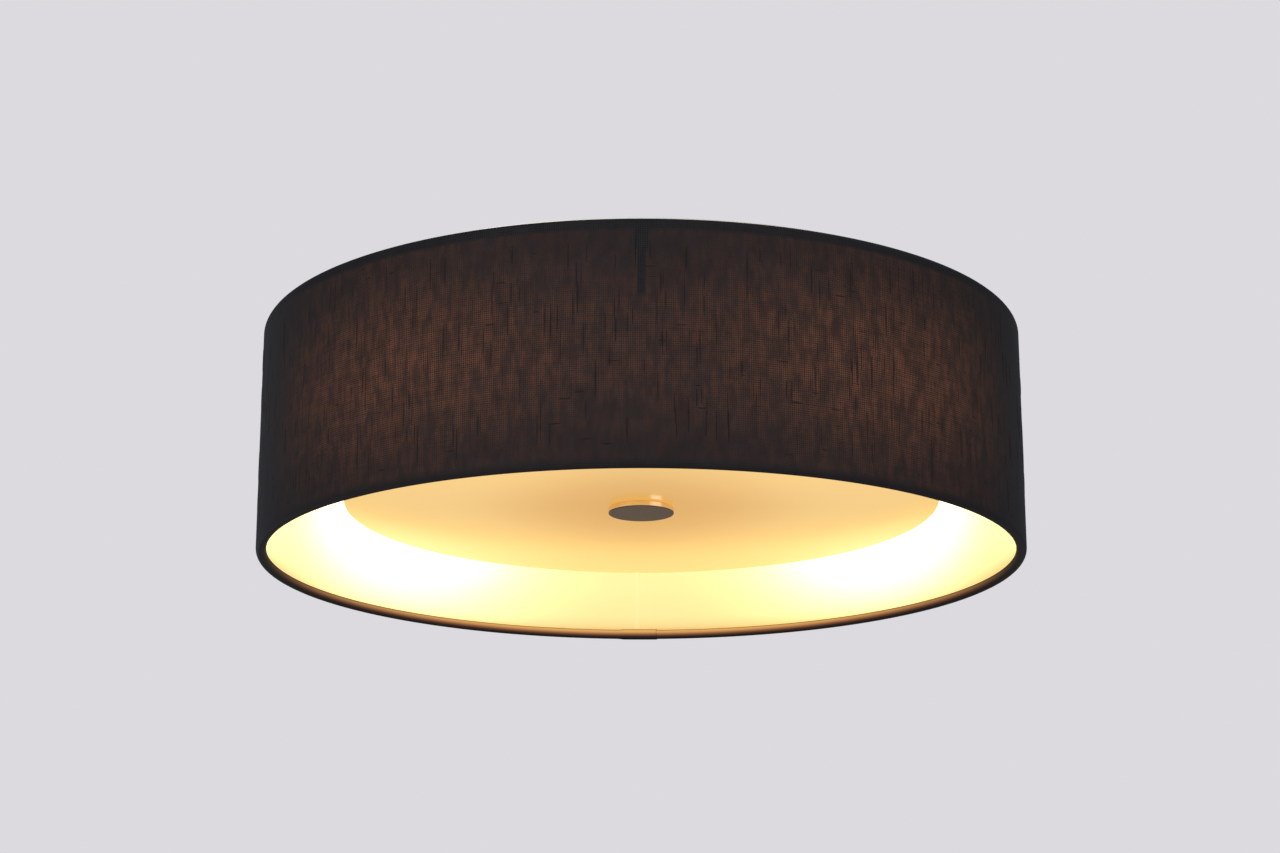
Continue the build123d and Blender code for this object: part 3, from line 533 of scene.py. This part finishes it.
# %% A tree that lays spindles on a drum
def slub_tree(material):
    tree = bpy.data.node_groups.new("slubs on a drum", "GeometryNodeTree")
    tree.interface.new_socket("Geometry", in_out="OUTPUT", socket_type="NodeSocketGeometry")
    for label, kind, value in (("Radius", "Float", 0.25), ("Low", "Float", -0.1), ("High", "Float", 0.0),
                               ("Count", "Int", 100), ("Length", "Float", 0.01), ("Width", "Float", 0.0003),
                               ("Upright", "Float", 1.0), ("Seed", "Int", 1)):
        socket = tree.interface.new_socket(label, in_out="INPUT", socket_type=f"NodeSocket{kind}")
        socket.default_value = value
    given = tree.nodes.new("NodeGroupInput").outputs

    def draw(low, high, more):
        """A random number for each point. more tells one draw from the next."""
        seed = add(tree, MATH, [given["Seed"], float(more)], operation="ADD")
        return add(tree, "FunctionNodeRandomValue", {2: low, 3: high, 8: seed}, out=1, data_type="FLOAT")

    def half_size(label, share):
        """Half of a size of the spindle, times its random share."""
        half = add(tree, MATH, [given[label], 2.0], operation="DIVIDE")
        return add(tree, MATH, [share, half], operation="MULTIPLY")

    angle = draw(0.0, 2 * math.pi, 0)
    height = draw(given["Low"], given["High"], 1)
    x = add(tree, MATH, [add(tree, MATH, [angle], operation="COSINE"), given["Radius"]], operation="MULTIPLY")
    y = add(tree, MATH, [add(tree, MATH, [angle], operation="SINE"), given["Radius"]], operation="MULTIPLY")
    place = add(tree, "ShaderNodeCombineXYZ", [x, y, height])
    points = add(tree, "GeometryNodePoints", {"Count": given["Count"], "Position": place})
    ball = add(tree, "GeometryNodeMeshUVSphere", {"Segments": 6, "Rings": 5, "Radius": 1.0})
    long = half_size("Length", draw(0.4, 1.0, 2))
    wide = half_size("Width", draw(0.6, 1.0, 3))
    flat = add(tree, MATH, [wide, 0.6], operation="MULTIPLY")
    size_y = add(tree, "ShaderNodeMix", {0: given["Upright"], 2: long, 3: wide})
    size_z = add(tree, "ShaderNodeMix", {0: given["Upright"], 2: wide, 3: long})
    size = add(tree, "ShaderNodeCombineXYZ", [flat, size_y, size_z])
    turn = add(tree, "FunctionNodeEulerToRotation", [add(tree, "ShaderNodeCombineXYZ", {2: angle})])
    spindles = add(tree, "GeometryNodeInstanceOnPoints", {
        "Points": points, "Instance": ball, "Rotation": turn, "Scale": size})
    real = add(tree, "GeometryNodeRealizeInstances", {"Geometry": spindles})
    shaded = add(tree, "GeometryNodeSetShadeSmooth", {"Geometry": real})
    last = add(tree, "GeometryNodeSetMaterial", {"Geometry": shaded, "Material": material})
    add(tree, "NodeGroupOutput", [last])
    return tree


def grow(name, tree, **values):
    """Runs a Geometry Nodes tree with these inputs and keeps its result as a plain mesh."""
    piece = in_scene(bpy.data.objects.new(name, bpy.data.meshes.new(name)))
    modifier = piece.modifiers.new("grow", "NODES")
    modifier.node_group = tree
    for socket in tree.interface.items_tree:
        if socket.in_out == "INPUT":
            modifier[socket.identifier] = values[socket.name]
    return apply_modifiers(piece)


print("spindle tree ready")

# %% [markdown]
# A slub is the same dyed yarn, but thicker, so next to no light gets through it. It is a little darker than
# the weave round it and has nearly no sheen, and so it shows as a short dark stroke.

# %% Slubs
SLUB_WIDTH = 0.75 * MM
SLUB_PROUD = 0.02 * MM       # a slub's middle in front of the cloth


def slub_surface(tree):
    glow = add(tree, MATH, [cloth_glow(tree), arm_shadow(tree)], operation="MULTIPLY")
    return {"Base Color": mottled(tree, 0.6 * MM, "141315", "222023", 2.0), "Roughness": 0.95,
            "Specular IOR Level": 0.1, "Sheen Weight": 0.03, "Emission Color": "ff9e73",
            "Emission Strength": add(tree, MATH, [glow, 0.012], operation="MULTIPLY")}


slubs = slub_tree(new_material("Charcoal slub yarn", slub_surface, bumps(0.3 * MM), 0.1 * MM))
for name, upright, count, length, seed in (("upright_slubs", 1.0, 620, 24 * MM, 11),
                                           ("lying_slubs", 0.0, 150, 9 * MM, 29)):
    margin = 2 * hem_radius + upright * length / 2
    wall = dict(Radius=shade_radius + SLUB_PROUD, Low=shade_bottom + margin, High=shade_top - margin)
    piece = grow(name, slubs, **wall, Count=count, Length=length, Width=SLUB_WIDTH,
                 Upright=upright, Seed=seed)
    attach(piece, "fixture")
    print(name, len(piece.data.polygons), "faces")

# %% [markdown]
# The lining is a stiff white plastic sheet, rolled to a ring and lapped at the back, where its edge shows
# as a fine line. It could be left as the model's plain tube, but then the line would be missing, so it is
# wound like the cloth. Its lap is thinner than the sheet, as where two edges are pressed together.

# %% Lining: white styrene sheet, calendered, so it is smooth, soft-shining and lit from inside
LINER_T = 0.38 * MM
LINER_INSET = 0.02 * MM      # keeps its outside off the cloth
LINER_LAP = 12 * MM
LINER_LAP_STEP = -0.1 * MM   # the lap lies on the inside
LINER_EDGE = 90.28           # degrees: the shown edge, just left of the back
LINER_ROWS = 10
LINER_COLUMNS = 360


def liner_surface(tree):
    hot = add(tree, MATH, [four_lobes(tree, 3.0), at_height(tree, bulb_axis, 62 * MM)], operation="MULTIPLY")
    rim = fade_in_height(tree, shade_bottom + 1.2 * hem_radius, shade_bottom + 5.0 * hem_radius)
    dim = add(tree, MATH, [rim, -0.05, 0.55], operation="MULTIPLY_ADD")
    warm = add(tree, "ShaderNodeMix", {0: rim, 6: "ffd474", 7: "ffe27c"}, out=2, data_type="RGBA")
    light = add(tree, "ShaderNodeMix", {0: hot, 6: warm, 7: "fffbe8"}, out=2, data_type="RGBA")
    return {"Base Color": "cfcabd", "Roughness": 0.42, "IOR": 1.55,
            "Emission Color": light,
            "Emission Strength": add(tree, MATH, [hot, 2.6, dim], operation="MULTIPLY_ADD")}


liner_middle = liner_radius - LINER_T / 2 - LINER_INSET
liner_line = [(liner_middle, liner_high.z - (liner_high.z - liner_low.z) * i / LINER_ROWS)
              for i in range(LINER_ROWS + 1)]
liner_start = math.radians(LINER_EDGE) + LINER_LAP / liner_radius
liner = wound_strip("shade_lining", liner_line, liner_start, LINER_LAP, LINER_LAP_STEP,
                    LINER_COLUMNS, LINER_T)
liner.data.materials.append(new_material("White styrene lining", liner_surface, bumps(3 * MM), 0.01 * MM))
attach(liner, "fixture")
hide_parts("shade_liner")
print("lining", len(liner.data.polygons), "faces")

# %% [markdown]
# The opal sheet is acrylic with a white filler, satin on its underside. From below it is seen nearly edge
# on, so it mirrors the far wall softly. That could be painted, but it would stay put when the view moves.
# Acrylic's own refractive index of 1.49 and a roughness near 0.2 give it for nothing. The light through it is
# coloured, and its base colour is a dim tan in place of the white filler: painted shade and warm light. It is
# dimmest round the rod, where no bulb is near.

# %% Diffuser: opal acrylic, cast, satin underside. Bulbs: opal glass, blown
DIM_REACH, BRIGHT_REACH = 20 * MM, 135 * MM      # from the rod: where the sheet is dimmest, and brightest


def opal_surface(tree):
    ring = add(tree, "ShaderNodeMapRange", [reach_of(tree), DIM_REACH, BRIGHT_REACH],
               interpolation_type="SMOOTHSTEP")
    more = add(tree, MATH, [four_lobes(tree, 1.6), 0.06, 0.09], operation="MULTIPLY_ADD")
    light = add(tree, "ShaderNodeMix", {0: ring, 6: "f8b956", 7: "ffd27c"}, out=2, data_type="RGBA")
    # Base colour 8c6e44: a dim tan in place of the acrylic's white, painted shade and warm light of the lit
    # sheet.
    return {"Base Color": "8c6e44", "Roughness": 0.17, "IOR": 1.49, "Emission Color": light,
            "Emission Strength": add(tree, MATH, [ring, more, 0.63], operation="MULTIPLY_ADD")}


def bulb_surface(tree):
    """White hot on the ball and dimmer at the neck."""
    lobes = four_lobes(tree, 4.0)
    light = add(tree, "ShaderNodeMix", {0: lobes, 6: "ffe2ac", 7: "fff6e2"}, out=2, data_type="RGBA")
    return {"Base Color": "f2ead8", "Roughness": 0.25, "IOR": 1.5,
            "Emission Color": light, "Emission Strength": 1.0}


opal = new_material("Opal acrylic sheet", opal_surface, bumps(0.8 * MM, 2.0), 0.01 * MM)
lit_glass = new_material("Opal glass, lit", bulb_surface)
print("opal finishes ready")

# %% [markdown]
# Metals differ in how they were made: dipping in zinc leaves leaf-shaped crystals, plating follows the
# turned or pressed steel below it, and a satin cap is brushed while it spins. All keep the default index of
# a metal and differ in colour, roughness and a fine relief.

# %% Metals
CRYSTAL = 5 * MM             # a zinc leaf
BRUSH_MARK = 0.12 * MM
ROD_PITCH, STUD_PITCH = 1.0 * MM, 0.7 * MM


def zinc_leaves(tree):
    point = point_on_piece(tree)
    cells = add(tree, "ShaderNodeTexVoronoi", {"Vector": point, "Scale": 1 / CRYSTAL}, out="Color")
    leaf = add(tree, "ShaderNodeSeparateColor", [cells])
    greys = add(tree, "ShaderNodeMix", {0: leaf, 6: "9a9da0", 7: "b9bcbe"}, out=2, data_type="RGBA")
    return {"Base Color": greys, "Metallic": 1.0, "Roughness": uneven(tree, 2 * MM, 0.38, 0.55)}


def plated(low, high, rough):
    """A metal whose colour and roughness wander a little, as its plating does."""
    return lambda tree: {"Base Color": mottled(tree, 4 * MM, low, high), "Metallic": 1.0,
                         "Roughness": uneven(tree, 1.5 * MM, rough - 0.05, rough + 0.08)}


def spun(tree):
    """Fine rings round the rod's axis, as a brush leaves them on a spinning cap."""
    places = [add(tree, MATH, [place, 1 / BRUSH_MARK], operation="MULTIPLY")
              for place in (reach_of(tree), axis_of(tree, "Z"))]
    along = add(tree, "ShaderNodeCombineXYZ", places)
    return add(tree, "ShaderNodeTexNoise", {"Vector": along, "Scale": 1.0, "Detail": 3.0})


def cap_nut(tree):
    """A brushed face painted dull and brownish as a dark reflection, and a smoother rim that mirrors the lit
    lining.
    """
    marks = spun(tree)
    rim = fade_in_height(tree, cap_face + 0.3 * MM, cap_face + 0.5 * MM)
    # The face's dark brown is a painted dark reflection. The rim keeps the nickel's own pale colour.
    face = add(tree, "ShaderNodeMix", {0: marks, 6: "624a37", 7: "785b45"}, out=2, data_type="RGBA")
    rough = add(tree, "ShaderNodeMapRange", [marks, 0.3, 0.7, 0.3, 0.42], interpolation_type="SMOOTHSTEP")
    metal = add(tree, "ShaderNodeMix", {0: rim, 6: face, 7: "f2e4cc"}, out=2, data_type="RGBA")
    return {"Base Color": metal, "Metallic": 1.0,
            "Roughness": add(tree, MATH, [rim, -0.14, rough], operation="MULTIPLY_ADD")}


def screw_thread(pitch):
    """Ridges along Z, one for each pitch."""
    def relief(tree):
        turn = add(tree, MATH, [axis_of(tree, "Z"), 2 * math.pi / pitch], operation="MULTIPLY")
        return add(tree, MATH, [turn], operation="SINE")
    return relief


# dull grey with crystals; bright grey; the same with ridges, coarse and fine
galvanised = new_material("Hot-dip galvanised steel", zinc_leaves, bumps(1.2 * MM), 0.03 * MM)
zinc = new_material("Zinc plated steel", plated("a9acae", "c9c9c4", 0.3), bumps(0.5 * MM), 0.01 * MM)
rod_zinc = new_material("Zinc plated threaded rod", plated("a4a6a6", "c4c4be", 0.32),
                        screw_thread(ROD_PITCH), 0.25 * MM)
stud_zinc = new_material("Zinc plated studs", plated("a9acae", "c9c9c4", 0.3),
                         screw_thread(STUD_PITCH), 0.15 * MM)
# a soft shine in rings and a painted dark reflection on the face; a warm sharp shine; yellow with tool marks;
# grey and hammered
satin_nickel = new_material("Satin nickel, spun brushed", cap_nut, spun, 0.006 * MM)
nickel = new_material("Nickel plated brass", plated("b3aa98", "cfc8b8", 0.2), bumps(0.8 * MM), 0.01 * MM)
brass = new_material("Machined brass", plated("b98f4a", "d0a860", 0.28), bumps(0.4 * MM), 0.01 * MM)
tin_solder = new_material("Tin solder", plated("8e8f8e", "a9aaa8", 0.34), bumps(1.0 * MM), 0.08 * MM)
print("metals ready")

# %% [markdown]
# The painted pan and the plastic lampholders stand in the light of the bulbs. They are white, and on the
# lit side they get a warm glow that fades with the distance from the bulbs. Towards the ceiling the pan
# stays plain.

# %% Painted steel, plastics, rubber and leads
def lit_by_bulbs(tree, strength, width):
    """Warm light at the bulbs' height and around it, none above the pan's underside."""
    below = fade_in_height(tree, pan_under + 0.6 * MM, pan_under + 0.1 * MM)
    lobes = add(tree, MATH, [four_lobes(tree, 2.0), 0.4, 0.6], operation="MULTIPLY_ADD")
    level = add(tree, MATH, [at_height(tree, bulb_axis, width), strength], operation="MULTIPLY")
    shown = add(tree, MATH, [below, lobes], operation="MULTIPLY")
    return add(tree, MATH, [shown, level], operation="MULTIPLY")


def powder_coat(tree):
    return {"Base Color": mottled(tree, 30 * MM, "e6e4de", "efede8"), "Roughness": 0.38, "IOR": 1.5,
            "Coat Weight": 0.2, "Emission Color": "ffdc9a",
            "Emission Strength": lit_by_bulbs(tree, 0.62, 90 * MM)}


def moulded(low, high, rough, glow=0.0):
    """Plastic or rubber from a mould, with a glow where it stands near the bulbs."""
    def surface(tree):
        inputs = {"Base Color": mottled(tree, 8 * MM, low, high), "Roughness": rough, "IOR": 1.5}
        if glow:
            inputs["Emission Color"] = "ffd894"
            inputs["Emission Strength"] = lit_by_bulbs(tree, glow, 80 * MM)
        return inputs
    return surface


def earth_stripes(tree):
    """Green and yellow halves along the lead, split at its middle height."""
    middle = sum(corner.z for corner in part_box("earth_lead")) / 2
    upper = fade_in_height(tree, middle - 0.1 * MM, middle + 0.1 * MM)
    stripes = add(tree, "ShaderNodeMix", {0: upper, 6: "3f8a35", 7: "d8c22a"}, out=2, data_type="RGBA")
    return {"Base Color": stripes, "Roughness": 0.35, "IOR": 1.53}


orange_peel = bumps(1.4 * MM, 2.0)
fine_grain = bumps(0.5 * MM, 2.0)
# baked paint, low waves and a soft shine
white_paint = new_material("White powder coated steel", powder_coat, orange_peel, 0.02 * MM)
# satin plastics: white, and undyed as it leaves the mould
white_plastic = new_material("White moulded thermoplastic", moulded("e6e2d6", "eeeae0", 0.42, 0.5),
                             fine_grain, 0.01 * MM)
natural_plastic = new_material("Natural polyamide", moulded("d8d2bc", "e4dfcc", 0.4), fine_grain, 0.01 * MM)
# matt black, and a cloudy white that takes up the light round it
rubber = new_material("Black moulded rubber", moulded("161616", "222222", 0.6), fine_grain, 0.03 * MM)
silicone = new_material("Translucent silicone", moulded("cfcdc6", "dcdad4", 0.45, 0.3), fine_grain, 0.01 * MM)
# drawn insulation, smooth and a little waxy
brown_lead = new_material("Brown lead insulation", moulded("4f2a14", "5e3219", 0.35), fine_grain, 0.01 * MM)
blue_lead = new_material("Blue lead insulation", moulded("1c4f9c", "2459aa", 0.35), fine_grain, 0.01 * MM)
earth_cover = new_material("Green and yellow lead insulation", earth_stripes, fine_grain, 0.01 * MM)
print("paint and plastics ready")

# %% [markdown]
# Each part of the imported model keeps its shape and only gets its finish. A dictionary says which part has
# which one, so that a part that is left out stops the script instead of going grey.

# %% Give each part its finish
finishes = {
    galvanised: ["mounting_bar", "shade_ring_top", "shade_ring_bottom"]
    + [f"shade_arm_{side}" for side in ("front", "right", "back", "left")]
    + [f"lampholder_bracket_{n}" for n in (1, 2, 3, 4)],
    zinc: ["pan_nuts", "terminal_screws", "block_screws", "earth_tag", "earth_screw", "bracket_nuts",
           "holder_screws", "rod_nuts", "rod_washer", "arm_nuts", "stop_washer"],
    stud_zinc: ["bar_studs", "arm_studs", "bracket_screws"],
    rod_zinc: ["centre_rod"],
    white_paint: ["base_pan", "spacer_tube"],
    natural_plastic: ["terminal_block"],
    brass: ["terminal_inserts", "lampholder_contacts"],
    earth_cover: ["earth_lead"],
    rubber: ["lead_grommets"],
    brown_lead: ["live_leads"],
    blue_lead: ["neutral_leads"],
    silicone: ["soft_washers"],
    opal: ["diffuser_disc"],
    satin_nickel: ["finial"],
    white_plastic: [f"lampholder_{n}" for n in (1, 2, 3, 4)],
    nickel: [f"{part}_{n}" for part in ("lampholder_shell", "bulb_cap") for n in (1, 2, 3, 4)],
    lit_glass: [f"bulb_glass_{n}" for n in (1, 2, 3, 4)],
    tin_solder: [f"bulb_contact_{n}" for n in (1, 2, 3, 4)],
}
for finish, names in finishes.items():
    for name in names:
        nodes[name].data.materials.clear()
        nodes[name].data.materials.append(finish)
finished = {name for names in finishes.values() for name in names} | {"shade_fabric", "shade_liner"}
assert finished == set(nodes), finished ^ set(nodes)
print(len(finished), "parts finished")
